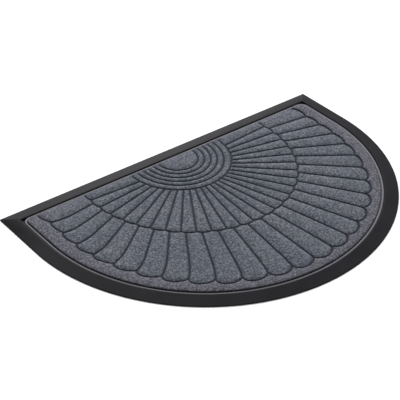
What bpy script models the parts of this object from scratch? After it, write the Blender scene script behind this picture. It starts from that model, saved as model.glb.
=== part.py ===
# Half-round doormat: a moulded rubber base with a sloping border, and a carpet face
# pressed with a fan of petals. Metres, +Z up. The origin lies on the floor, under the
# middle of the box that the mat fills, and the straight edge faces +Y.
import math

import bmesh
import bpy
import numpy as np
from mathutils import Vector
from mathutils.geometry import delaunay_2d_cdt

# Outline: a half circle in front of a short straight strip
MAT_WIDTH = 0.900
MAT_DEPTH = 0.600
ARC_RADIUS = MAT_WIDTH / 2
ARC_CENTRE_Y = ARC_RADIUS - MAT_DEPTH / 2
STRAIGHT_EDGE_Y = MAT_DEPTH / 2
ARC_STEPS = 72
CORNER_STEPS = 5
RUBBER_CORNER = 0.002
CARPET_CORNER = 0.021

# Rubber: inset from the outline against height, from the underside's rim to the tray floor
TRAY_INSET = 0.033
TRAY_FLOOR = 0.0020
RUBBER_PROFILE = (
    {"inset": 0.0005, "height": 0.0000},
    {"inset": 0.0000, "height": 0.0005},
    {"inset": 0.0000, "height": 0.0014},
    {"inset": 0.0008, "height": 0.0021},
    {"inset": 0.0285, "height": 0.0063},
    {"inset": 0.0308, "height": 0.0066},
    {"inset": 0.0324, "height": 0.0062},
    {"inset": TRAY_INSET, "height": 0.0052},
    {"inset": TRAY_INSET, "height": TRAY_FLOOR},
)

# Carpet: it lies in the tray a small gap from the rubber. Round its rim runs a flange that
# slopes down to the tray, and a riser leads from the flange up to the face.
SEAT_GAP = 0.0003
FLANGE_WIDTH = 0.0044
RISER_WIDTH = 0.0030
CARPET_BOTTOM = TRAY_FLOOR + SEAT_GAP
RIM_TOP = 0.0030
FLANGE_TOP = 0.0045
CARPET_TOP = 0.0080
CARPET_RIM = TRAY_INSET + SEAT_GAP
RISER_FOOT_Y = STRAIGHT_EDGE_Y - CARPET_RIM - FLANGE_WIDTH
RIM_DISTANCES = (0.0, FLANGE_WIDTH, FLANGE_WIDTH + RISER_WIDTH)
RIM_HEIGHTS = (RIM_TOP, FLANGE_TOP, CARPET_TOP)

# Grooves pressed into the carpet
GROOVE_BOTTOM = 0.0044
GROOVE_HALF_WIDTH = 0.0034

# Fan: rays spread from its heart, just inside the carpet's straight edge. It is drawn
# round and then stretched a little towards the arc.
FAN_X = 0.004
FAN_LIFT = 0.104
FAN_Y = ARC_CENTRE_Y + FAN_LIFT
FAN_STRETCH = 1.04
PETALS = 26
PETAL_STEP = math.pi / PETALS

# Outer petals end in arches, which meet on a line parallel to the mat's outline. The
# arches are shallow at the sides and deep at the front and in the left-hand corner.
OUTER_RADIUS = 0.3685
SIDE_ARCH_DEPTH = 0.15
FRONT_ARCH_DEPTH = 0.37
CORNER_ARCH_DEPTH = 0.30
ARCH_SKEW = 0.4
TIP_SWEEP = 0.21
TIP_SWEEP_REACH = 0.050

# Inner petals have their own rays, from a point in front of the heart
INNER_CENTRE_Q = 0.0325
INNER_RADIUS = 0.2550
INNER_STEP = math.radians(7.45)
INNER_ARCH_DEPTH = 0.17

# Half rings round the heart, the outermost of which carries the inner petals
RING_RADII = (0.128, 0.1105, 0.095, 0.080, 0.065, 0.050)

# Fineness of the drawn lines
LINE_STEP = 0.0010
LINE_TOLERANCE = 0.00012
LINE_LONGEST = 0.045


def make_material(name, colour, roughness):
    material = bpy.data.materials.new(name)
    material.use_nodes = True
    shader = material.node_tree.nodes["Principled BSDF"]
    shader.inputs["Base Color"].default_value = (*colour, 1.0)
    shader.inputs["Roughness"].default_value = roughness
    shader.inputs["Metallic"].default_value = 0.0
    return material


def add_object(name, bm, material):
    bmesh.ops.recalc_face_normals(bm, faces=bm.faces)
    mesh = bpy.data.meshes.new(name)
    bm.to_mesh(mesh)
    bm.free()
    mesh.materials.append(material)
    mesh.shade_smooth()
    mesh.set_sharp_from_angle(angle=math.radians(28))
    obj = bpy.data.objects.new(name, mesh)
    bpy.context.scene.collection.objects.link(obj)
    return obj


# The mat's outline, moved inwards by inset: corner, straight edge, corner, then the arc
def half_round(inset, corner):
    half = ARC_RADIUS - inset
    edge_y = STRAIGHT_EDGE_Y - inset
    points = []
    for side, start in ((1, 0.0), (-1, math.pi / 2)):
        for step in range(CORNER_STEPS + 1):
            angle = start + math.pi / 2 * step / CORNER_STEPS
            x = side * (half - corner) + corner * math.cos(angle)
            y = edge_y - corner + corner * math.sin(angle)
            points.append((x, y))
    for step in range(ARC_STEPS + 1):
        angle = math.pi + math.pi * step / ARC_STEPS
        points.append((half * math.cos(angle), ARC_CENTRE_Y + half * math.sin(angle)))
    return points


# Distance inwards from the carpet's rim, whose two corners are rounded
def inside_rim(x, y):
    half = ARC_RADIUS - CARPET_RIM
    if y < ARC_CENTRE_Y:
        return half - math.hypot(x, y - ARC_CENTRE_Y)
    side_gap = half - abs(x)
    edge_gap = STRAIGHT_EDGE_Y - CARPET_RIM - y
    if max(side_gap, edge_gap) < CARPET_CORNER:
        return CARPET_CORNER - math.hypot(CARPET_CORNER - side_gap, CARPET_CORNER - edge_gap)
    return min(side_gap, edge_gap)


def build_rubber_base():
    bm = bmesh.new()
    loops = []
    for row in RUBBER_PROFILE:
        ring = half_round(row["inset"], RUBBER_CORNER)
        loops.append([bm.verts.new((x, y, row["height"])) for x, y in ring])
    for lower, upper in zip(loops, loops[1:]):
        for i in range(len(lower)):
            j = (i + 1) % len(lower)
            bm.faces.new((lower[i], lower[j], upper[j], upper[i]))
    bm.faces.new(loops[0])
    bm.faces.new(loops[-1])
    return add_object("rubber_base", bm, make_material("rubber", (0.030, 0.030, 0.032), 0.62))


# Fan drawing: p runs to the right of the heart and q towards the arc
def on_mat(p, q):
    return np.array((FAN_X + p, FAN_Y - FAN_STRETCH * q))


# Distance from the heart, along the ray at angle, to where the outer arches meet: on a half
# circle about the arc's centre, or beside the short straight sides
def reach(angle):
    down = FAN_STRETCH * math.sin(angle)
    squares = math.cos(angle) ** 2 + down ** 2
    root = (down * FAN_LIFT) ** 2 + squares * (OUTER_RADIUS ** 2 - FAN_LIFT ** 2)
    distance = (down * FAN_LIFT + math.sqrt(root)) / squares
    if down * distance < FAN_LIFT:
        distance = OUTER_RADIUS / abs(math.cos(angle))
    return distance


# 0 on the ray to the far right, 1 on the ray to the far left
def leftward(angle):
    return (1 - math.cos(angle)) / 2


# Ray from the heart. Near the outer arches the left-hand petals lean towards the straight
# edge, most at the far left.
def from_heart(angle, distance):
    rim = reach(angle)
    near_rim = min(max((distance - rim) / TIP_SWEEP_REACH + 1, 0.0), 1.3)
    angle += TIP_SWEEP * PETAL_STEP * leftward(angle) ** 3 * near_rim ** 2
    return distance * math.cos(angle), distance * math.sin(angle)


# Outer rays are counted from the right, and the inner ones lie between them
def outer_angle(i):
    return i * PETAL_STEP


def inner_angle(j):
    return math.pi / 2 + (j - (PETALS - 1) / 2) * INNER_STEP


def inner_valley(j):
    angle = inner_angle(j)
    return INNER_RADIUS * math.cos(angle), INNER_CENTRE_Q + INNER_RADIUS * math.sin(angle)


def outer_valley(i):
    return outer_angle(i), reach(outer_angle(i))


# Arch between two outer valleys, drawn in angle and distance
def outer_arch(i, steps=60):
    (angle_a, reach_a), (angle_b, reach_b) = outer_valley(i), outer_valley(i + 1)
    forward = math.sin((angle_a + angle_b) / 2) ** 2
    depth = SIDE_ARCH_DEPTH + (FRONT_ARCH_DEPTH - SIDE_ARCH_DEPTH) * forward
    if i == PETALS - 1:
        depth = CORNER_ARCH_DEPTH
    depth *= PETAL_STEP * (reach_a + reach_b) / 2
    skew = ARCH_SKEW * leftward((angle_a + angle_b) / 2) ** 3
    line = []
    for step in range(steps + 1):
        turn = math.pi * step / steps
        along = (1 - math.cos(turn)) / 2
        angle = angle_a + (angle_b - angle_a) * along
        distance = reach_a + (reach_b - reach_a) * along
        distance += depth * math.sin(turn) * (1 - skew * math.cos(turn))
        line.append(on_mat(*from_heart(angle, distance)))
    return line


# Arch between two valleys of the inner circle
def inner_arch(j, steps=60):
    (p_a, q_a), (p_b, q_b) = inner_valley(j), inner_valley(j + 1)
    middle = (inner_angle(j) + inner_angle(j + 1)) / 2
    depth = INNER_ARCH_DEPTH * INNER_STEP * INNER_RADIUS
    line = []
    for step in range(steps + 1):
        turn = math.pi * step / steps
        along = (1 - math.cos(turn)) / 2
        out = depth * math.sin(turn)
        p = p_a + (p_b - p_a) * along + out * math.cos(middle)
        q = q_a + (q_b - q_a) * along + out * math.sin(middle)
        line.append(on_mat(p, q))
    return line


# Splits a line where the outer ray i crosses it
def split_by_ray(line, i):
    heart = on_mat(0.0, 0.0)
    ray = on_mat(math.cos(outer_angle(i)), math.sin(outer_angle(i))) - heart
    sides = [ray[0] * (p - heart)[1] - ray[1] * (p - heart)[0] for p in line]
    for k in range(len(line) - 1):
        if sides[k] * sides[k + 1] <= 0:
            share = sides[k] / (sides[k] - sides[k + 1])
            crossing = line[k] + (line[k + 1] - line[k]) * share
            return line[:k + 1] + [crossing], [crossing] + line[k + 1:]
    return line, []


# Cuts a line off at the foot of the riser along the straight edge, from its first point
def stop_at_edge(line):
    kept = [line[0]]
    for point in line[1:]:
        if point[1] >= RISER_FOOT_Y:
            share = (RISER_FOOT_Y - kept[-1][1]) / (point[1] - kept[-1][1])
            kept.append(kept[-1] + (point - kept[-1]) * share)
            return kept
        kept.append(point)
    return kept


def straight(start, end, steps=40):
    return [start + (end - start) * k / steps for k in range(steps + 1)]


def ring_arc(radius, start, end, steps=120):
    angles = [start + (end - start) * k / steps for k in range(steps + 1)]
    return [on_mat(radius * math.cos(a), radius * math.sin(a)) for a in angles]


# Angle about the heart at which inner ray j leaves the ring
def ring_exit(j, radius):
    angle = inner_angle(j)
    out = -INNER_CENTRE_Q * math.sin(angle)
    out += math.sqrt(radius ** 2 - (INNER_CENTRE_Q * math.cos(angle)) ** 2)
    return math.atan2(INNER_CENTRE_Q + out * math.sin(angle), out * math.cos(angle))


# Every groove, as separate lines from junction to junction
def groove_lines():
    lines = [stop_at_edge(outer_arch(i)) for i in range(PETALS)]
    end = on_mat(*from_heart(*outer_valley(0)))
    lines.append(stop_at_edge(straight(end, end + np.array((0.0, 2 * CARPET_RIM)))))
    for i in range(1, PETALS):
        low, high = split_by_ray(inner_arch(i - 1), i)
        lines += [low, high]
        start = np.linalg.norm((low[-1] - on_mat(0.0, 0.0)) / (1, FAN_STRETCH))
        end = outer_valley(i)[1]
        distances = [start + (end - start) * k / 60 for k in range(61)]
        lines.append([on_mat(*from_heart(outer_angle(i), d)) for d in distances])
    lines.append(stop_at_edge(inner_arch(-1)[::-1]))
    lines.append(stop_at_edge(inner_arch(PETALS - 1)))
    carrier = RING_RADII[0]
    exits = [ring_exit(j, carrier) for j in range(PETALS)]
    for j, leave in enumerate(exits):
        start = on_mat(carrier * math.cos(leave), carrier * math.sin(leave))
        lines.append(straight(start, on_mat(*inner_valley(j))))
    above = [math.asin((RISER_FOOT_Y - FAN_Y) / (FAN_STRETCH * r)) for r in RING_RADII]
    stops = [-above[0]] + exits + [math.pi + above[0]]
    for start, end in zip(stops, stops[1:]):
        lines.append(ring_arc(carrier, start, end, 12))
    for radius, over in zip(RING_RADII[1:], above[1:]):
        lines.append(ring_arc(radius, -over, math.pi + over))
    return lines


# Evenly spaced points along a line
def resample(line, step):
    points = np.array(line)
    lengths = np.linalg.norm(np.diff(points, axis=0), axis=1)
    along = np.concatenate(([0.0], np.cumsum(lengths)))
    count = max(2, int(round(along[-1] / step)) + 1)
    places = np.linspace(0.0, along[-1], count)
    return np.stack([np.interp(places, along, points[:, k]) for k in (0, 1)], axis=1)


# Keeps only the points that the line's shape needs
def simplify(points):
    first, last = points[0], points[-1]
    chord = last - first
    length = np.linalg.norm(chord)
    if len(points) < 3:
        return [first, last]
    away = np.abs(chord[0] * (points - first)[:, 1] - chord[1] * (points - first)[:, 0])
    away = away / max(length, 1e-9)
    middle = int(np.argmax(away))
    if away[middle] <= LINE_TOLERANCE:
        if length <= LINE_LONGEST:
            return [first, last]
        middle = len(points) // 2
    return simplify(points[:middle + 1])[:-1] + simplify(points[middle:])


# Distance from each point to the nearest groove
def distance_to_grooves(points, lines):
    nearest = np.full(len(points), np.inf)
    for line in lines:
        for a, b in zip(line, line[1:]):
            span = b - a
            along = np.clip((points - a) @ span / (span @ span), 0.0, 1.0)
            away = np.linalg.norm(points - a - along[:, None] * span, axis=1)
            nearest = np.minimum(nearest, away)
    return nearest


# Shoulder lines on both sides of a groove, cut where another groove comes closer
def shoulder_lines(line, grooves):
    points = resample(line, LINE_STEP)
    heading = np.gradient(points, axis=0)
    heading /= np.linalg.norm(heading, axis=1)[:, None]
    normal = np.stack((-heading[:, 1], heading[:, 0]), axis=1)
    pieces = []
    for side in (-1, 1):
        moved = points + side * GROOVE_HALF_WIDTH * normal
        clear = distance_to_grooves(moved, grooves) > 0.97 * GROOVE_HALF_WIDTH
        clear &= moved[:, 1] < RISER_FOOT_Y
        run = []
        for point, keep in zip(moved, clear):
            if keep:
                run.append(point)
            elif run:
                pieces.append(run)
                run = []
        if run:
            pieces.append(run)
    return [simplify(np.array(piece)) for piece in pieces if len(piece) > 2]


# Height of the carpet's face at a point, from its distance to the rim and to a groove
def carpet_height(x, y, groove_distance):
    rim_height = np.interp(inside_rim(x, y), RIM_DISTANCES, RIM_HEIGHTS)
    share = min(groove_distance / (0.95 * GROOVE_HALF_WIDTH), 1.0)
    groove_height = GROOVE_BOTTOM + (CARPET_TOP - GROOVE_BOTTOM) * share
    return min(rim_height, groove_height)


def build_carpet():
    grooves = [simplify(resample(line, LINE_STEP)) for line in groove_lines()]
    drawn = list(grooves)
    for line in groove_lines():
        drawn += shoulder_lines(line, grooves)

    # The face is a triangulation of the grooves, their shoulders and the rim's lines
    places, edges = [], []
    for distance in RIM_DISTANCES:
        ring = half_round(CARPET_RIM + distance, CARPET_CORNER - distance)
        base = len(places)
        places += [Vector(point) for point in ring]
        edges += [(base + k, base + (k + 1) % len(ring)) for k in range(len(ring))]
    for line in drawn:
        base = len(places)
        places += [Vector(point) for point in line]
        edges += [(base + k, base + k + 1) for k in range(len(line) - 1)]
    spots, _, faces, _, _, _ = delaunay_2d_cdt(places, edges, [], 0, 1e-6)

    bm = bmesh.new()
    distances = distance_to_grooves(np.array([tuple(spot) for spot in spots]), grooves)
    heights = [carpet_height(spot.x, spot.y, d) for spot, d in zip(spots, distances)]
    verts = [bm.verts.new((spot.x, spot.y, z)) for spot, z in zip(spots, heights)]
    for face in faces:
        bm.faces.new([verts[k] for k in face])

    # The rim drops to a flat underside
    rim = [edge for edge in bm.edges if edge.is_boundary]
    wall = bmesh.ops.extrude_edge_only(bm, edges=rim)["geom"]
    for vert in (item for item in wall if isinstance(item, bmesh.types.BMVert)):
        vert.co.z = CARPET_BOTTOM
    low = [item for item in wall if isinstance(item, bmesh.types.BMEdge)]
    low = [edge for edge in low if all(v.co.z == edge.verts[0].co.z for v in edge.verts)]
    bmesh.ops.edgeloop_fill(bm, edges=[edge for edge in low if edge.is_boundary])
    return add_object("carpet", bm, make_material("carpet", (0.105, 0.115, 0.140), 0.95))


for old in list(bpy.data.objects):
    bpy.data.objects.remove(old, do_unlink=True)
build_rubber_base()
build_carpet()
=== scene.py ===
import math

import bmesh
import bpy
import numpy as np
from mathutils import Matrix, Vector, noise
from mathutils.geometry import delaunay_2d_cdt
from mathutils.kdtree import KDTree


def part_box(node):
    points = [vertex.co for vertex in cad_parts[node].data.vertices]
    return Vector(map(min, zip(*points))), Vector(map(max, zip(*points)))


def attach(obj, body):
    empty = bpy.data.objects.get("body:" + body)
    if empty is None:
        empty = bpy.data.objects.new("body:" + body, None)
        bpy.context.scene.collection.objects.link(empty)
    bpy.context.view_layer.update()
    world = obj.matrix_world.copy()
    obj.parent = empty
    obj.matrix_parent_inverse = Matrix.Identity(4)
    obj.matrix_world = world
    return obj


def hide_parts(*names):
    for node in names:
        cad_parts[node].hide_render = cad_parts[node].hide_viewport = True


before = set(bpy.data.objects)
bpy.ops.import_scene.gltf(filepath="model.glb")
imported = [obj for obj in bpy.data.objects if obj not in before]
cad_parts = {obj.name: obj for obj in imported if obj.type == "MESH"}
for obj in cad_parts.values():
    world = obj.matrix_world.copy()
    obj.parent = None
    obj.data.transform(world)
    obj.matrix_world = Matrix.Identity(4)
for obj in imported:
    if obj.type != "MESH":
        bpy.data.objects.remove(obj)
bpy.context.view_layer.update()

print("frame loaded")

# The mat's plan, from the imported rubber: a half circle in front of a short straight strip.
# Everything is in metres, with the straight edge towards +Y.
matLow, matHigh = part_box("rubber_base")
halfWidth = (matHigh[0] - matLow[0]) / 2
edgeY = matHigh[1]
arcY = matLow[1] + halfWidth
tiny = 0.00001
lineSteps = 60               # steps along each drawn arch or ray
ringSteps = 160

rubberSettings = {
    "arcPoints": 400,        # round the whole circle, half of which is kept
    "wallHeight": 0.0014,    # the low outer wall
    "trayInset": 0.0330,     # from the outer edge to the tray's wall
    "trayFloor": 0.0020,
    "mitreWidth": 0.0030,    # soft crease where two borders meet at a corner
    "mitreSegments": 3,
    "edgeRound": 0.0003,
    "edgeSegments": 2,
    "edgeAngle": 40,         # in degrees, and sharper edges than this are rounded
    "smoothAngle": 32,
    # steps over the border: how far in and how far up
    "border": (
        {"inwards": 0.0008, "up": 0.0007},
        {"inwards": 0.0277, "up": 0.0042},
        {"inwards": 0.0012, "up": 0.0002},
        {"inwards": 0.0011, "up": 0.0001},
        {"inwards": 0.0010, "up": -0.0001},
        {"inwards": 0.0006, "up": -0.0003},
        {"inwards": 0.0004, "up": -0.0005},
        {"inwards": 0.0002, "up": -0.0005},
    ),
}

carpetSettings = {
    "seatGap": 0.0003,
    "corner": 0.0210,
    "leastCorner": 0.0004,     # what is left of it on the innermost lines
    "cornerPoints": 12,
    "arcPoints": 300,
    # height of the rim against distance from the carpet's outer edge
    "rim": (
        {"inwards": 0.0000, "height": 0.0027},
        {"inwards": 0.0008, "height": 0.0033},
        {"inwards": 0.0015, "height": 0.0042},
        {"inwards": 0.0024, "height": 0.0046},
        {"inwards": 0.0036, "height": 0.0044},
        {"inwards": 0.0048, "height": 0.0041},
        {"inwards": 0.0057, "height": 0.0040},
        {"inwards": 0.0062, "height": 0.0046},
        {"inwards": 0.0071, "height": 0.0059},
        {"inwards": 0.0084, "height": 0.0067},
        {"inwards": 0.0102, "height": 0.0072},
        {"inwards": 0.0128, "height": 0.0076},
        {"inwards": 0.0165, "height": 0.0079},
        {"inwards": 0.0210, "height": 0.0080},
    ),
    "riserFoot": 0.0057,       # where the grooves end
    "faceTop": 0.0080,
    "grooveBottom": 0.0040,
    "grooveFlat": 0.0003,      # half of the groove's flat bottom
    "grooveWall": 0.0022,      # where the groove's wall ends
    "shoulderDrop": 0.0036,    # the petals' soft edges stand this far below their middles
    "shoulderReach": 0.0068,
    "marginReach": 0.0028,     # the margin stands steeper beside the fan
    "acrossGroove": (0.0005, 0.0011, 0.0017, 0.0023, 0.0034, 0.0050, 0.0072),
    "pointStep": 0.0022,       # spacing of the mesh along the grooves
    "rimStep": 0.0035,
    "fieldStep": 0.0055,       # spacing of the mesh between them
    "rowShare": 0.87,          # spacing of its rows, as a share of that
    "jitter": 0.2,             # how far its points stray, as a share of that
    "searchStep": 0.0003,      # spacing of the points that stand for the grooves
    "ownSide": 0.96,           # a line beside a groove ends where another comes nearer
    "ringStop": 0.0060,        # the rings fade out this far before the riser
    "sharpAngle": 75,
    "unevenness": 0.00012,     # gentle rise and fall of the felt
    "waves": (
        {"scale": 28, "level": 3.1, "share": 1.0},
        {"scale": 130, "level": 8.4, "share": 0.6},
    ),
    "waveMiddle": 0.7,
    "wavesFromRim": (0.006, 0.012),
    "wavesFromGroove": (0.0, 0.003),
}

# Painted shade darkens the felt's colour in the grooves, up the riser and along the rim's edge,
# and a painted highlight lightens the flange. The spans run inwards from the rim or away from
# a groove, and those of the flange and the riser are counted from the riser's foot.
shadeAndHighlightSettings = {
    "flangeSpan": (-0.0008, 0.0002),
    "rimShadeSpan": (0.0008, 0.0018),
    "riserShadeSpan": (0.0008, 0.0048),
    "grooveShadeSpan": (0.0006, 0.0046),
    # share of the painted shade that goes up the riser
    "riserShadeShare": 0.7,
}

# The pressed fan. Rays spread from its heart, just inside the carpet's straight edge. It is
# drawn round and then stretched a little towards the arc.
fanSettings = {
    "heart": (0.004, arcY + 0.104),
    "stretch": 1.04,
    "petals": 26,
    "tipsRadius": 0.3685,      # the outer arches meet on a line parallel to the mat's outline
    "sideArch": 0.15,          # depth of the arches, as a share of a petal's width
    "frontArch": 0.37,
    "cornerArch": 0.30,
    "archSkew": 0.4,
    "tipSweep": 0.21,          # lean of the left-hand tips, as a share of a petal's width
    "sweepReach": 0.050,
    "sweepLimit": 1.3,         # the lean grows no more past the tips than to this share
    "runOut": 0.05,            # long enough to carry the first ray past the riser
    "innerCentre": 0.0325,
    "innerRadius": 0.2550,
    "innerStep": math.radians(7.45),
    "innerArch": 0.17,
    "ringRadii": (0.128, 0.1105, 0.095, 0.080, 0.065, 0.050),
}

trayInset = rubberSettings["trayInset"]
carpetInset = trayInset + carpetSettings["seatGap"]
carpetBottom = rubberSettings["trayFloor"] + carpetSettings["seatGap"]
riserFootY = edgeY - carpetInset - carpetSettings["riserFoot"]
petalStep = math.pi / fanSettings["petals"]


def onMat(p, q):                                # p to the right of the heart, q towards the arc
    heartX, heartY = fanSettings["heart"]
    return np.array((heartX + p, heartY - fanSettings["stretch"] * q))


def reachOuter(angle):                          # from the heart to where the outer arches meet
    radius, lift = fanSettings["tipsRadius"], fanSettings["heart"][1] - arcY
    down = fanSettings["stretch"] * math.sin(angle)
    squares = math.cos(angle) ** 2 + down ** 2
    reach = down * lift + math.sqrt((down * lift) ** 2 + squares * (radius ** 2 - lift ** 2))
    reach /= squares
    if down * reach < lift:                     # beside the short straight sides
        reach = radius / abs(math.cos(angle))
    return reach


def leftward(angle):                            # 0 at the far right, 1 at the far left
    return (1 - math.cos(angle)) / 2


def fromHeart(angle, distance):                 # rays that lean near the left-hand tips
    nearTip = (distance - reachOuter(angle)) / fanSettings["sweepReach"] + 1
    nearTip = min(max(nearTip, 0.0), fanSettings["sweepLimit"])
    angle += fanSettings["tipSweep"] * petalStep * leftward(angle) ** 3 * nearTip ** 2
    return onMat(distance * math.cos(angle), distance * math.sin(angle))


def outerArch(i, steps=lineSteps):              # between outer rays i and i + 1
    angleA, angleB = i * petalStep, (i + 1) * petalStep
    reachA, reachB = reachOuter(angleA), reachOuter(angleB)
    middle = (angleA + angleB) / 2
    side, front = fanSettings["sideArch"], fanSettings["frontArch"]
    share = side + (front - side) * math.sin(middle) ** 2
    if i == fanSettings["petals"] - 1:
        share = fanSettings["cornerArch"]
    depth = share * petalStep * (reachA + reachB) / 2
    skew = fanSettings["archSkew"] * leftward(middle) ** 3
    line = []
    for step in range(steps + 1):
        turn = math.pi * step / steps
        along = (1 - math.cos(turn)) / 2
        distance = reachA + (reachB - reachA) * along
        distance += depth * math.sin(turn) * (1 - skew * math.cos(turn))
        line.append(fromHeart(angleA + (angleB - angleA) * along, distance))
    return line


def innerAngle(j):
    return math.pi / 2 + (j - (fanSettings["petals"] - 1) / 2) * fanSettings["innerStep"]


def innerValley(j):
    radius, angle = fanSettings["innerRadius"], innerAngle(j)
    return np.array((radius * math.cos(angle),
                     fanSettings["innerCentre"] + radius * math.sin(angle)))


def innerArch(j, steps=lineSteps):              # between inner rays j and j + 1
    start, end = innerValley(j), innerValley(j + 1)
    middle = (innerAngle(j) + innerAngle(j + 1)) / 2
    outwards = np.array((math.cos(middle), math.sin(middle)))
    depth = fanSettings["innerArch"] * fanSettings["innerStep"] * fanSettings["innerRadius"]
    line = []
    for step in range(steps + 1):
        turn = math.pi * step / steps
        along = (1 - math.cos(turn)) / 2
        line.append(onMat(*(start + (end - start) * along + outwards * depth * math.sin(turn))))
    return line


def crossesRay(line, i):                        # where outer ray i meets an inner arch
    heart = onMat(0.0, 0.0)
    ray = onMat(math.cos(i * petalStep), math.sin(i * petalStep)) - heart
    sides = [ray[0] * (point - heart)[1] - ray[1] * (point - heart)[0] for point in line]
    for k in range(len(line) - 1):
        if sides[k] * sides[k + 1] <= 0:
            return line[k] + (line[k + 1] - line[k]) * sides[k] / (sides[k] - sides[k + 1])
    return line[-1]


def stopAtEdge(line, limitY):                   # cuts a line where it reaches the straight riser
    kept = [line[0]]
    for point in line[1:]:
        if point[1] >= limitY:
            share = (limitY - kept[-1][1]) / (point[1] - kept[-1][1])
            kept.append(kept[-1] + (point - kept[-1]) * share)
            return kept
        kept.append(point)
    return kept


def straight(start, end, steps=lineSteps):      # even steps between two points or two numbers
    return [start + (end - start) * k / steps for k in range(steps + 1)]


def ringArc(radius, limitY, steps=ringSteps):   # a half ring that ends at limitY
    over = math.asin((limitY - fanSettings["heart"][1]) / (fanSettings["stretch"] * radius))
    angles = [-over + (math.pi + 2 * over) * k / steps for k in range(steps + 1)]
    return [onMat(radius * math.cos(a), radius * math.sin(a)) for a in angles]


def ringExit(j, radius):                        # where inner ray j leaves the widest ring
    angle, centre = innerAngle(j), fanSettings["innerCentre"]
    out = math.sqrt(radius ** 2 - (centre * math.cos(angle)) ** 2) - centre * math.sin(angle)
    return onMat(out * math.cos(angle), centre + out * math.sin(angle))


def grooveLines():
    petals = fanSettings["petals"]
    lines = [stopAtEdge(outerArch(i), riserFootY) for i in range(petals)]
    end = fromHeart(0.0, reachOuter(0.0))
    beyond = end + np.array((0.0, fanSettings["runOut"]))
    lines.append(stopAtEdge(straight(end, beyond), riserFootY))
    for i in range(1, petals):
        arch = innerArch(i - 1)
        lines.append(arch)
        start = (crossesRay(arch, i) - onMat(0.0, 0.0)) / (1, fanSettings["stretch"])
        start, end = np.linalg.norm(start), reachOuter(i * petalStep)
        lines.append([fromHeart(i * petalStep, distance) for distance in straight(start, end)])
    lines.append(stopAtEdge(innerArch(-1)[::-1], riserFootY))
    lines.append(stopAtEdge(innerArch(petals - 1), riserFootY))
    rings = fanSettings["ringRadii"]
    for j in range(petals):
        lines.append(straight(ringExit(j, rings[0]), onMat(*innerValley(j))))
    for radius in rings:
        lines.append(ringArc(radius, riserFootY - carpetSettings["ringStop"]))
    return lines


def resample(line, step):                       # evenly spaced points along a line
    points = np.array(line)
    lengths = np.linalg.norm(np.diff(points, axis=0), axis=1)
    along = np.concatenate(([0.0], np.cumsum(lengths)))
    count = max(2, int(round(along[-1] / step)) + 1)
    places = np.linspace(0.0, along[-1], count)
    return np.stack([np.interp(places, along, points[:, k]) for k in (0, 1)], axis=1)


def carpetOutline(inwards):                     # the carpet's rim, moved inwards
    s = carpetSettings
    half = halfWidth - carpetInset - inwards
    top = edgeY - carpetInset - inwards
    corner = max(s["corner"] - inwards, s["leastCorner"])
    points = []
    for side, start in ((1, 0.0), (-1, math.pi / 2)):
        for step in range(s["cornerPoints"] + 1):
            angle = start + math.pi / 2 * step / s["cornerPoints"]
            points.append((side * (half - corner) + corner * math.cos(angle),
                           top - corner + corner * math.sin(angle)))
    for step in range(s["arcPoints"] + 1):
        angle = math.pi + math.pi * step / s["arcPoints"]
        points.append((half * math.cos(angle), arcY + half * math.sin(angle)))
    points.append(points[0])
    return points


def rimDistance(points):                        # distance inwards from the carpet's rim
    x, y = np.abs(points[:, 0]), points[:, 1]
    half, top = halfWidth - carpetInset, edgeY - carpetInset
    corner = carpetSettings["corner"]
    sideGap, edgeGap = half - x, top - y
    flat = np.minimum(sideGap, edgeGap)
    inCorner = (sideGap < corner) & (edgeGap < corner)
    rounded = corner - np.hypot(corner - sideGap, corner - edgeGap)
    inArc = y < arcY
    return np.where(inArc, half - np.hypot(x, y - arcY), np.where(inCorner, rounded, flat))


def smoothStep(low, high, value):               # 0 below low, 1 above high
    t = np.clip((value - low) / (high - low), 0.0, 1.0)
    return t * t * (3 - 2 * t)


def fadeOut(span, value, start=0.0):            # 1 before the span, 0 past it
    return 1 - smoothStep(start + span[0], start + span[1], value)


def faceHeight(fromGroove, fromRim, petals):
    s = carpetSettings
    shoulder = s["faceTop"] - s["shoulderDrop"]
    wall = smoothStep(s["grooveFlat"], s["grooveWall"], fromGroove)
    reach = np.where(petals > 0, s["shoulderReach"], s["marginReach"])
    pillow = 1 - np.exp(-np.maximum(fromGroove - s["grooveFlat"], 0.0) / reach)
    petal = s["grooveBottom"] + (shoulder - s["grooveBottom"]) * wall + s["shoulderDrop"] * pillow
    rim = np.interp(fromRim, [r["inwards"] for r in s["rim"]], [r["height"] for r in s["rim"]])
    return np.minimum(petal, rim)


def insideFan(points, outline):                 # 1 inside the fan's closed outline, else 0
    x, y = points[:, 0], points[:, 1]
    inside = np.zeros(len(points), bool)
    for (ax, ay), (bx, by) in zip(outline, np.roll(outline, -1, axis=0)):
        if ay != by:
            spans = (ay > y) != (by > y)
            inside ^= spans & (x < ax + (bx - ax) * (y - ay) / (by - ay))
    return inside.astype(float)


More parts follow.
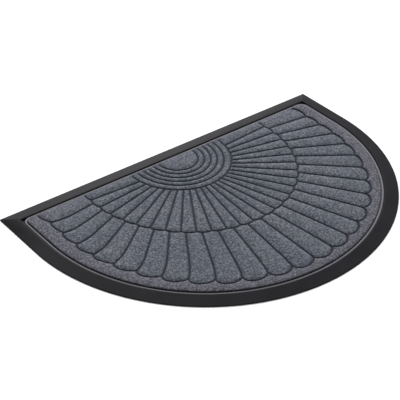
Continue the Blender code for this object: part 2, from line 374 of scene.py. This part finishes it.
def buildCarpet():
    s = carpetSettings
    grooves = [resample(line, s["pointStep"]) for line in grooveLines()]
    fine = np.concatenate([resample(line, s["searchStep"]) for line in grooves])
    tree = KDTree(len(fine))
    for index, point in enumerate(fine):
        tree.insert((point[0], point[1], 0.0), index)
    tree.balance()

    def grooveDistance(points):
        return np.array([tree.find((x, y, 0.0))[2] for x, y in points])

    # lines beside the grooves, cut where another groove comes closer
    faceStart = s["rim"][-3]["inwards"]
    drawn = list(grooves)
    for line in grooves:
        heading = np.gradient(line, axis=0)
        heading /= np.linalg.norm(heading, axis=1)[:, None]
        normal = np.stack((-heading[:, 1], heading[:, 0]), axis=1)
        for offset in s["acrossGroove"]:
            for side in (-1, 1):
                moved = line + side * offset * normal
                keep = grooveDistance(moved) > s["ownSide"] * offset
                keep &= rimDistance(moved) > faceStart
                run = []
                for point, kept in zip(moved, keep):
                    if kept:
                        run.append(point)
                    elif run:
                        drawn.append(np.array(run))
                        run = []
                if run:
                    drawn.append(np.array(run))
    for row in s["rim"]:
        drawn.append(resample(carpetOutline(row["inwards"]), s["rimStep"]))

    # loose points over the petals and the margin
    rng = np.random.default_rng(7)
    step = s["fieldStep"]
    xs = np.arange(-halfWidth, halfWidth, step)
    ys = np.arange(arcY - halfWidth, edgeY, step * s["rowShare"])
    grid = np.array([(x + (k % 2) * step / 2, y) for k, y in enumerate(ys) for x in xs])
    grid += rng.uniform(-s["jitter"], s["jitter"], grid.shape) * step
    grid = grid[rimDistance(grid) > s["rim"][-1]["inwards"] + 0.5 * step]
    grid = grid[grooveDistance(grid) > s["acrossGroove"][-1] + 0.5 * step]

    places, edges = [], []
    for line in drawn:
        base = len(places)
        places += [Vector(point) for point in line]
        edges += [(base + k, base + k + 1) for k in range(len(line) - 1)]
    places += [Vector(point) for point in grid]
    spots, _, faces, _, _, _ = delaunay_2d_cdt(places, edges, [], 0, 1e-6)
    print("carpet face drawn:", len(spots), "points")

    flat = np.array([tuple(spot) for spot in spots])
    fromGroove, fromRim = grooveDistance(flat), rimDistance(flat)
    fanLine = [p for i in range(fanSettings["petals"]) for p in outerArch(i)]
    fanLine = [(fanLine[0][0], edgeY)] + fanLine + [(fanLine[-1][0], edgeY)]
    petals = insideFan(flat, np.array(fanLine))
    heights = faceHeight(fromGroove, fromRim, petals)
    onFace = smoothStep(*s["wavesFromRim"], fromRim)
    onFace *= smoothStep(*s["wavesFromGroove"], fromGroove)
    swell = np.array([sum(w["share"] * noise.noise((x * w["scale"], y * w["scale"], w["level"]))
                          for w in s["waves"]) for x, y in flat])
    heights += s["unevenness"] * (swell - s["waveMiddle"]) * onFace

    bm = bmesh.new()
    verts = [bm.verts.new((x, y, z)) for (x, y), z in zip(flat, heights)]
    for face in faces:
        bm.faces.new([verts[k] for k in face])
    rim = [edge for edge in bm.edges if edge.is_boundary]
    wall = bmesh.ops.extrude_edge_only(bm, edges=rim)["geom"]
    for vert in (item for item in wall if isinstance(item, bmesh.types.BMVert)):
        vert.co.z = carpetBottom
    low = [edge for edge in bm.edges if edge.is_boundary]
    bmesh.ops.edgeloop_fill(bm, edges=low)
    bmesh.ops.recalc_face_normals(bm, faces=bm.faces)
    mesh = bpy.data.meshes.new("carpetFace")
    bm.to_mesh(mesh)
    bm.free()

    # painted shade in the grooves, up the riser and at the rim's edge, and a painted highlight
    # over the flange
    spare = len(mesh.vertices) - len(flat)
    foot, paintSpans = s["riserFoot"], shadeAndHighlightSettings
    onFlange = fadeOut(paintSpans["flangeSpan"], fromRim, foot)
    # painted shade at the rim's edge, where the felt meets the rubber
    rimShade = fadeOut(paintSpans["rimShadeSpan"], fromRim)
    riser = (1 - onFlange) * fadeOut(paintSpans["riserShadeSpan"], fromRim, foot)
    paintedShade = fadeOut(paintSpans["grooveShadeSpan"], fromGroove) * (1 - onFlange)
    paintedShade = np.maximum(np.maximum(paintedShade, paintSpans["riserShadeShare"] * riser), rimShade)
    # painted highlight over the flange, short of its outer edge
    flange = onFlange * (1 - rimShade)
    for name, values in (("groove", paintedShade), ("flange", flange), ("petal", petals)):
        layer = mesh.attributes.new(name, "FLOAT", "POINT")
        values = np.concatenate((values, np.zeros(spare))).astype(np.float32)
        layer.data.foreach_set("value", values)
    mesh.shade_smooth()
    mesh.set_sharp_from_angle(angle=math.radians(s["sharpAngle"]))
    carpet = bpy.data.objects.new("carpetFace", mesh)
    bpy.context.scene.collection.objects.link(carpet)
    print("carpet built:", len(mesh.polygons), "faces")
    return carpet


def selectEdges(obj, wanted):
    bpy.ops.mesh.select_mode(type="EDGE")
    bpy.ops.mesh.select_all(action="DESELECT")
    bm = bmesh.from_edit_mesh(obj.data)
    for edge in bm.edges:
        if wanted(edge):
            edge.select_set(True)
    bmesh.update_edit_mesh(obj.data)


def onMitre(edge):                              # the long edge down the slope, at a corner
    gaps = []
    for vert in edge.verts:
        sideGap, edgeGap = halfWidth - abs(vert.co.x), edgeY - vert.co.y
        if abs(sideGap - edgeGap) > tiny or edgeGap > trayInset - tiny:
            return False
        gaps.append(edgeGap)
    return abs(gaps[0] - gaps[1]) > trayInset / 2


def buildRubber():
    s = rubberSettings
    bpy.ops.object.select_all(action="DESELECT")
    bpy.ops.mesh.primitive_circle_add(vertices=s["arcPoints"], radius=halfWidth,
                                      fill_type="NGON", location=(0, arcY, 0))
    rubber = bpy.context.object
    rubber.name = "mouldedRubber"
    bpy.ops.object.transform_apply(location=True, rotation=True, scale=True)
    bpy.ops.object.mode_set(mode="EDIT")
    bpy.ops.mesh.select_all(action="SELECT")
    bpy.ops.mesh.bisect(plane_co=(0, arcY, 0), plane_no=(0, 1, 0), clear_outer=True)
    selectEdges(rubber, lambda edge: all(abs(v.co.y - arcY) < tiny for v in edge.verts))
    bpy.ops.mesh.extrude_edges_move(TRANSFORM_OT_translate={"value": (0, edgeY - arcY, 0)})

    # up from the floor, over the sloping border and down into the tray
    bpy.ops.mesh.select_mode(type="FACE")
    bpy.ops.mesh.select_all(action="SELECT")
    bpy.ops.mesh.normals_make_consistent(inside=False)
    bpy.ops.mesh.extrude_region_move(TRANSFORM_OT_translate={"value": (0, 0, s["wallHeight"])})
    height = s["wallHeight"]
    for step in s["border"]:
        bpy.ops.mesh.inset(thickness=step["inwards"], depth=0.0)
        bpy.ops.transform.translate(value=(0, 0, step["up"]))
        height += step["up"]
    bpy.ops.mesh.extrude_region_move(
        TRANSFORM_OT_translate={"value": (0, 0, s["trayFloor"] - height)})
    bpy.ops.mesh.select_all(action="SELECT")
    bpy.ops.mesh.normals_make_consistent(inside=False)
    selectEdges(rubber, onMitre)
    bpy.ops.mesh.bevel(offset=s["mitreWidth"], segments=s["mitreSegments"], affect="EDGES")
    bpy.ops.object.mode_set(mode="OBJECT")

    rounding = rubber.modifiers.new("edgeRound", "BEVEL")
    rounding.width = s["edgeRound"]
    rounding.segments = s["edgeSegments"]
    rounding.limit_method = "ANGLE"
    rounding.angle_limit = math.radians(s["edgeAngle"])
    bpy.ops.object.modifier_apply(modifier=rounding.name)
    bpy.ops.object.shade_smooth_by_angle(angle=math.radians(s["smoothAngle"]))
    print("rubber built:", len(rubber.data.polygons), "faces")
    return rubber


# Materials

def makeMaterial(name):
    material = bpy.data.materials.new(name)
    material.use_nodes = True
    nodes = material.node_tree.nodes
    return material, nodes, material.node_tree.links, nodes["Principled BSDF"]


def addNode(nodes, kind, place, **values):
    node = nodes.new(kind)
    node.location = place
    for name, value in values.items():
        setattr(node, name, value)
    return node


def makeRamp(nodes, place, stops):              # the first and last stops are its ends
    ramp = addNode(nodes, "ShaderNodeValToRGB", place)
    elements = ramp.color_ramp.elements
    for index, stop in ((0, stops[0]), (1, stops[-1])):
        elements[index].position = stop["at"]
        elements[index].color = stop["colour"]
    for stop in stops[1:-1]:
        elements.new(stop["at"]).color = stop["colour"]
    return ramp


def addBump(nodes, links, shader, height, look):
    bump = addNode(nodes, "ShaderNodeBump", (-300, -250))
    bump.inputs["Strength"].default_value = look["bumpStrength"]
    bump.inputs["Distance"].default_value = look["bumpHeight"]
    links.new(height, bump.inputs["Height"])
    links.new(bump.outputs["Normal"], shader.inputs["Normal"])


grainSettings = {"coarseDetail": 3.0, "fineDetail": 4.0, "roughness": 0.6}


def makeGrainGroup():                           # grain at two scales, as a value about 0.5
    s = grainSettings
    group = bpy.data.node_groups.new("twoScaleGrain", "ShaderNodeTree")
    face = group.interface
    face.new_socket("Vector", in_out="INPUT", socket_type="NodeSocketVector")
    for name, value in (("Coarse Scale", 100.0), ("Fine Scale", 600.0), ("Fine Share", 0.5)):
        face.new_socket(name, in_out="INPUT", socket_type="NodeSocketFloat").default_value = value
    face.new_socket("Grain", in_out="OUTPUT", socket_type="NodeSocketFloat")
    nodes, links = group.nodes, group.links
    inputs = addNode(nodes, "NodeGroupInput", (-600, 0))
    outputs = addNode(nodes, "NodeGroupOutput", (400, 0))
    coarse = addNode(nodes, "ShaderNodeTexNoise", (-350, 150))
    fine = addNode(nodes, "ShaderNodeTexNoise", (-350, -150))
    mixer = addNode(nodes, "ShaderNodeMix", (50, 0), data_type="FLOAT")
    for node, scale, detail in ((coarse, "Coarse Scale", s["coarseDetail"]),
                                (fine, "Fine Scale", s["fineDetail"])):
        node.inputs["Detail"].default_value = detail
        node.inputs["Roughness"].default_value = s["roughness"]
        links.new(inputs.outputs["Vector"], node.inputs["Vector"])
        links.new(inputs.outputs[scale], node.inputs["Scale"])
    links.new(inputs.outputs["Fine Share"], mixer.inputs["Factor"])
    links.new(coarse.outputs["Fac"], mixer.inputs["A"])
    links.new(fine.outputs["Fac"], mixer.inputs["B"])
    links.new(mixer.outputs["Result"], outputs.inputs["Grain"])
    return group


def placeGrain(nodes, links, group, coords, place, coarse, fine, share):
    node = addNode(nodes, "ShaderNodeGroup", place, node_tree=group)
    node.inputs["Coarse Scale"].default_value = coarse
    node.inputs["Fine Scale"].default_value = fine
    node.inputs["Fine Share"].default_value = share
    links.new(coords, node.inputs["Vector"])
    return node.outputs["Grain"]


fibreSettings = {
    "along": 200.0,            # noise scale along the fibres and across them
    "across": 1800.0,
    "wanderScale": 90.0,
    "wanderReach": 0.009,      # how far the fibres stray from straight
    "softness": 0.10,
}


def makeFibreGroup():                           # short fibres, most of them along one direction
    s = fibreSettings
    group = bpy.data.node_groups.new("looseFibres", "ShaderNodeTree")
    face = group.interface
    face.new_socket("Vector", in_out="INPUT", socket_type="NodeSocketVector")
    for name, value in (("Turn", 0.0), ("Along", s["along"]), ("Across", s["across"]),
                        ("Density", 0.5)):
        face.new_socket(name, in_out="INPUT", socket_type="NodeSocketFloat").default_value = value
    face.new_socket("Fibres", in_out="OUTPUT", socket_type="NodeSocketFloat")
    nodes, links = group.nodes, group.links
    inputs = addNode(nodes, "NodeGroupInput", (-1100, 0))
    outputs = addNode(nodes, "NodeGroupOutput", (700, 0))
    wander = addNode(nodes, "ShaderNodeTexNoise", (-850, -200))
    wander.inputs["Scale"].default_value = s["wanderScale"]
    wander.inputs["Detail"].default_value = 1.0
    centred = addNode(nodes, "ShaderNodeVectorMath", (-650, -200), operation="SUBTRACT")
    centred.inputs[1].default_value = (0.5, 0.5, 0.5)
    curl = addNode(nodes, "ShaderNodeVectorMath", (-450, -200), operation="MULTIPLY_ADD")
    curl.inputs[1].default_value = [s["wanderReach"]] * 3
    turned = addNode(nodes, "ShaderNodeVectorRotate", (-250, 0), rotation_type="Z_AXIS")
    scales = addNode(nodes, "ShaderNodeCombineXYZ", (-250, -250))
    stretched = addNode(nodes, "ShaderNodeVectorMath", (-50, 0), operation="MULTIPLY")
    strands = addNode(nodes, "ShaderNodeTexNoise", (150, 0))
    strands.inputs["Scale"].default_value = 1.0
    strands.inputs["Detail"].default_value = 1.0
    cut = addNode(nodes, "ShaderNodeMapRange", (450, 0))
    wider = addNode(nodes, "ShaderNodeMath", (300, -250), operation="ADD")
    wider.inputs[1].default_value = s["softness"]
    links.new(inputs.outputs["Vector"], wander.inputs["Vector"])
    links.new(wander.outputs["Color"], centred.inputs[0])
    links.new(centred.outputs["Vector"], curl.inputs[0])
    links.new(inputs.outputs["Vector"], curl.inputs[2])
    links.new(curl.outputs["Vector"], turned.inputs["Vector"])
    links.new(inputs.outputs["Turn"], turned.inputs["Angle"])
    links.new(inputs.outputs["Along"], scales.inputs["X"])
    links.new(inputs.outputs["Across"], scales.inputs["Y"])
    links.new(inputs.outputs["Across"], scales.inputs["Z"])
    links.new(turned.outputs["Vector"], stretched.inputs[0])
    links.new(scales.outputs["Vector"], stretched.inputs[1])
    links.new(stretched.outputs["Vector"], strands.inputs["Vector"])
    links.new(strands.outputs["Fac"], cut.inputs["Value"])
    links.new(inputs.outputs["Density"], cut.inputs["From Min"])
    links.new(inputs.outputs["Density"], wider.inputs[0])
    links.new(wider.outputs["Value"], cut.inputs["From Max"])
    links.new(cut.outputs["Result"], outputs.inputs["Fibres"])
    return group


def placeFibres(nodes, links, group, coords, place, turn, density):
    node = addNode(nodes, "ShaderNodeGroup", place, node_tree=group)
    node.inputs["Turn"].default_value = math.radians(turn)
    node.inputs["Density"].default_value = density
    links.new(coords, node.inputs["Vector"])
    return node.outputs["Fibres"]


def mixColours(nodes, links, place, under, over, share, amount):
    mixer = addNode(nodes, "ShaderNodeMix", place, data_type="RGBA")
    links.new(under, mixer.inputs["A"])
    mixer.inputs["B"].default_value = over
    below = (place[0] - 180, place[1] - 150)
    weight = addNode(nodes, "ShaderNodeMath", below, operation="MULTIPLY")
    weight.inputs[1].default_value = amount
    links.new(share, weight.inputs[0])
    links.new(weight.outputs["Value"], mixer.inputs["Factor"])
    return mixer.outputs["Result"]


# A grain is its coarse scale, its fine scale and the fine one's share
rubberLook = {
    "tone": (14.0, 240.0, 0.35),
    "skin": (420.0, 1500.0, 0.5),
    "colours": (
        {"at": 0.35, "colour": (0.0190, 0.0182, 0.0212, 1)},
        {"at": 0.65, "colour": (0.0245, 0.0235, 0.0270, 1)},
    ),
    "roughness": (0.54, 0.66),
    "bumpStrength": 0.35,
    "bumpHeight": 0.0002,
    "specular": 0.06,
}


def makeRubberMaterial(grain):
    look = rubberLook
    material, nodes, links, shader = makeMaterial("matteRubber")
    coords = addNode(nodes, "ShaderNodeTexCoord", (-1200, 0)).outputs["Object"]
    tone = placeGrain(nodes, links, grain, coords, (-900, 200), *look["tone"])
    skin = placeGrain(nodes, links, grain, coords, (-900, -200), *look["skin"])
    ramp = makeRamp(nodes, (-600, 200), look["colours"])
    links.new(tone, ramp.inputs["Fac"])
    links.new(ramp.outputs["Color"], shader.inputs["Base Color"])
    rough = addNode(nodes, "ShaderNodeMapRange", (-600, -50))
    rough.inputs["To Min"].default_value = look["roughness"][0]
    rough.inputs["To Max"].default_value = look["roughness"][1]
    links.new(tone, rough.inputs["Value"])
    links.new(rough.outputs["Result"], shader.inputs["Roughness"])
    addBump(nodes, links, shader, skin, look)
    shader.inputs["Specular IOR Level"].default_value = look["specular"]
    return material


feltLook = {
    "heather": (230.0, 800.0, 0.35),
    "patches": (7.0, 45.0, 0.4),
    "fuzz": (700.0, 2600.0, 0.6),
    "ground": (
        {"at": 0.38, "colour": (0.024, 0.028, 0.038, 1)},
        {"at": 0.5, "colour": (0.086, 0.093, 0.112, 1)},
        {"at": 0.62, "colour": (0.225, 0.232, 0.262, 1)},
    ),
    # the fibres' turn in degrees, and the noise value from which they show
    "paleFibres": ((20.0, 0.58), (82.0, 0.58)),
    "paleColour": (0.230, 0.236, 0.262, 1),
    "paleAmount": 0.45,
    "darkFibres": (143.0, 0.56),
    "darkColour": (0.022, 0.025, 0.034, 1),
    "darkAmount": 0.5,
    "patchRange": (0.42, 0.62),
    "patchTint": (1.16, 1.12, 1.10, 1),
    "marginTone": (0.945, 0.905, 0.93, 1),
    "petalTone": (0.905, 0.935, 0.98, 1),
    # painted shade: the dark colour laid into the grooves, up the riser and along the rim's edge
    "grooveShadeColour": (0.010, 0.012, 0.023, 1),
    # painted highlight: the flange is painted paler than the felt, as if it caught more light
    "flangeHighlightColour": (0.196, 0.190, 0.205, 1),
    # how strongly the painted shade and the painted highlight cover the felt's own colour
    "shadeAndHighlightAmount": 0.90,
    "fibreRelief": 0.5,        # height of the fibres, as a share of the fuzz's
    "bumpStrength": 0.8,
    "bumpHeight": 0.0006,
    "roughness": 0.96,
    "specular": 0.15,
    "sheen": 0.05,
    "sheenRoughness": 0.6,
}


def makeFeltMaterial(grain, fibres):
    look = feltLook
    material, nodes, links, shader = makeMaterial("needledFelt")
    coords = addNode(nodes, "ShaderNodeTexCoord", (-2000, 0)).outputs["Object"]
    masks = {}
    for k, name in enumerate(("groove", "flange", "petal")):
        node = addNode(nodes, "ShaderNodeAttribute", (-1700, -500 - 200 * k), attribute_name=name)
        masks[name] = node.outputs["Fac"]
    heather = placeGrain(nodes, links, grain, coords, (-1700, 500), *look["heather"])
    patches = placeGrain(nodes, links, grain, coords, (-1700, 250), *look["patches"])
    fuzz = placeGrain(nodes, links, grain, coords, (-1700, 0), *look["fuzz"])
    ramp = makeRamp(nodes, (-1450, 500), look["ground"])
    links.new(heather, ramp.inputs["Fac"])

    # pale and dark fibres lie over the heathered ground
    pale = addNode(nodes, "ShaderNodeMath", (-1450, 150), operation="MAXIMUM")
    for k, values in enumerate(look["paleFibres"]):
        place = (-1700, -200 - 150 * k)
        links.new(placeFibres(nodes, links, fibres, coords, place, *values), pale.inputs[k])
    dark = placeFibres(nodes, links, fibres, coords, (-1450, -350), *look["darkFibres"])
    colour = mixColours(nodes, links, (-1150, 450), ramp.outputs["Color"],
                        look["paleColour"], pale.outputs["Value"], look["paleAmount"])
    colour = mixColours(nodes, links, (-900, 450), colour,
                        look["darkColour"], dark, look["darkAmount"])

    patchMask = addNode(nodes, "ShaderNodeMapRange", (-1450, 0))
    patchMask.inputs["From Min"].default_value = look["patchRange"][0]
    patchMask.inputs["From Max"].default_value = look["patchRange"][1]
    links.new(patches, patchMask.inputs["Value"])
    tint = addNode(nodes, "ShaderNodeMix", (-650, 450), data_type="RGBA", blend_type="MULTIPLY")
    tint.inputs["B"].default_value = look["patchTint"]
    links.new(patchMask.outputs["Result"], tint.inputs["Factor"])
    links.new(colour, tint.inputs["A"])

    # the plain margin has a warmer, paler nap than the pressed petals
    petalTone = addNode(nodes, "ShaderNodeMix", (-450, 450), data_type="RGBA")
    petalTone.inputs["A"].default_value = look["marginTone"]
    petalTone.inputs["B"].default_value = look["petalTone"]
    links.new(masks["petal"], petalTone.inputs["Factor"])
    toned = addNode(nodes, "ShaderNodeMix", (-250, 450), data_type="RGBA", blend_type="MULTIPLY")
    toned.inputs["Factor"].default_value = 1.0
    links.new(tint.outputs["Result"], toned.inputs["A"])
    links.new(petalTone.outputs["Result"], toned.inputs["B"])

    # painted shade over the grooves, the riser and the rim's edge
    colour = mixColours(nodes, links, (0, 450), toned.outputs["Result"],
                        look["grooveShadeColour"], masks["groove"], look["shadeAndHighlightAmount"])
    # a painted highlight over the flange
    colour = mixColours(nodes, links, (250, 450), colour,
                        look["flangeHighlightColour"], masks["flange"], look["shadeAndHighlightAmount"])
    links.new(colour, shader.inputs["Base Color"])

    relief = addNode(nodes, "ShaderNodeMath", (-900, -250), operation="MULTIPLY_ADD")
    relief.inputs[1].default_value = look["fibreRelief"]
    links.new(pale.outputs["Value"], relief.inputs[0])
    links.new(fuzz, relief.inputs[2])
    addBump(nodes, links, shader, relief.outputs["Value"], look)
    shader.inputs["Roughness"].default_value = look["roughness"]
    shader.inputs["Specular IOR Level"].default_value = look["specular"]
    shader.inputs["Sheen Weight"].default_value = look["sheen"]
    shader.inputs["Sheen Roughness"].default_value = look["sheenRoughness"]
    return material


floorLook = {"colour": (0.96, 0.96, 0.96, 1), "roughness": 0.9, "specular": 0.1}


def makeFloorMaterial():
    material, _, _, shader = makeMaterial("paleFloor")
    shader.inputs["Base Color"].default_value = floorLook["colour"]
    shader.inputs["Roughness"].default_value = floorLook["roughness"]
    shader.inputs["Specular IOR Level"].default_value = floorLook["specular"]
    return material


rubberBase = buildRubber()
carpetFace = buildCarpet()
grainGroup = makeGrainGroup()
rubberBase.data.materials.append(makeRubberMaterial(grainGroup))
carpetFace.data.materials.append(makeFeltMaterial(grainGroup, makeFibreGroup()))
print("materials made")

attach(rubberBase, "root")
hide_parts("rubber_base")
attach(carpetFace, "root")
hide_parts("carpet")

# Floor, lights and camera
studioSettings = {
    "floorSize": 30.0,
    "worldStrength": 0.20,
    "sunFrom": (0.72, 0.69, 0.62),
    "sunStrength": 4.6,
    "sunAngle": 24.0,
    "keyPlace": (0.7, 1.7, 0.95),
    "keySize": 0.9,
    "keyEnergy": 26.0,
}

cameraSettings = {
    "target": (-0.05343, 0.092, 0.0),
    "azimuth": -38.765,
    "elevation": 35.331,
    "roll": 0.687,
    "distance": 2.7247,
    "focal": 1207.04,          # in pixels of the 400 pixel frame
    "frameWidth": 400,
    "sensorWidth": 36,         # in millimetres
}

bpy.ops.object.select_all(action="DESELECT")
bpy.ops.mesh.primitive_plane_add(size=studioSettings["floorSize"], location=(0, 0, 0))
floor = bpy.context.object
floor.name = "studioFloor"
floor.data.materials.append(makeFloorMaterial())

world = bpy.data.worlds.new("studioWorld")
world.use_nodes = True
background = world.node_tree.nodes["Background"]
background.inputs["Color"].default_value = (1, 1, 1, 1)
background.inputs["Strength"].default_value = studioSettings["worldStrength"]
bpy.context.scene.world = world

bpy.ops.object.light_add(type="AREA", location=studioSettings["keyPlace"])
keyLight = bpy.context.object
keyLight.name = "softKey"
keyLight.data.size = studioSettings["keySize"]
keyLight.data.energy = studioSettings["keyEnergy"]
keyAim = Vector((0, 0, 0)) - Vector(studioSettings["keyPlace"])
keyLight.rotation_euler = keyAim.to_track_quat("-Z", "Y").to_euler()

bpy.ops.object.light_add(type="SUN", location=studioSettings["sunFrom"])
sunLight = bpy.context.object
sunLight.name = "softSun"
sunLight.data.energy = studioSettings["sunStrength"]
sunLight.data.angle = math.radians(studioSettings["sunAngle"])
sunAim = -Vector(studioSettings["sunFrom"])
sunLight.rotation_euler = sunAim.to_track_quat("-Z", "Y").to_euler()
sunLight.visible_glossy = False                 # only the soft lights shine on the rubber


def placeCamera():
    c = cameraSettings
    azimuth, elevation, roll = (math.radians(c[k]) for k in ("azimuth", "elevation", "roll"))
    back = Vector((math.sin(azimuth) * math.cos(elevation),
                   -math.cos(azimuth) * math.cos(elevation), math.sin(elevation)))
    level = Vector((0, 0, 1)).cross(back).normalized()
    upright = back.cross(level)
    right = math.cos(roll) * level + math.sin(roll) * upright
    up = math.cos(roll) * upright - math.sin(roll) * level
    bpy.ops.object.camera_add(location=Vector(c["target"]) + back * c["distance"])
    camera = bpy.context.object
    camera.rotation_euler = Matrix((right, up, back)).transposed().to_euler()
    camera.data.sensor_width = c["sensorWidth"]
    camera.data.lens = c["sensorWidth"] * c["focal"] / c["frameWidth"]
    bpy.context.scene.camera = camera


placeCamera()
bpy.context.scene.view_settings.view_transform = "Standard"
print("studio ready")
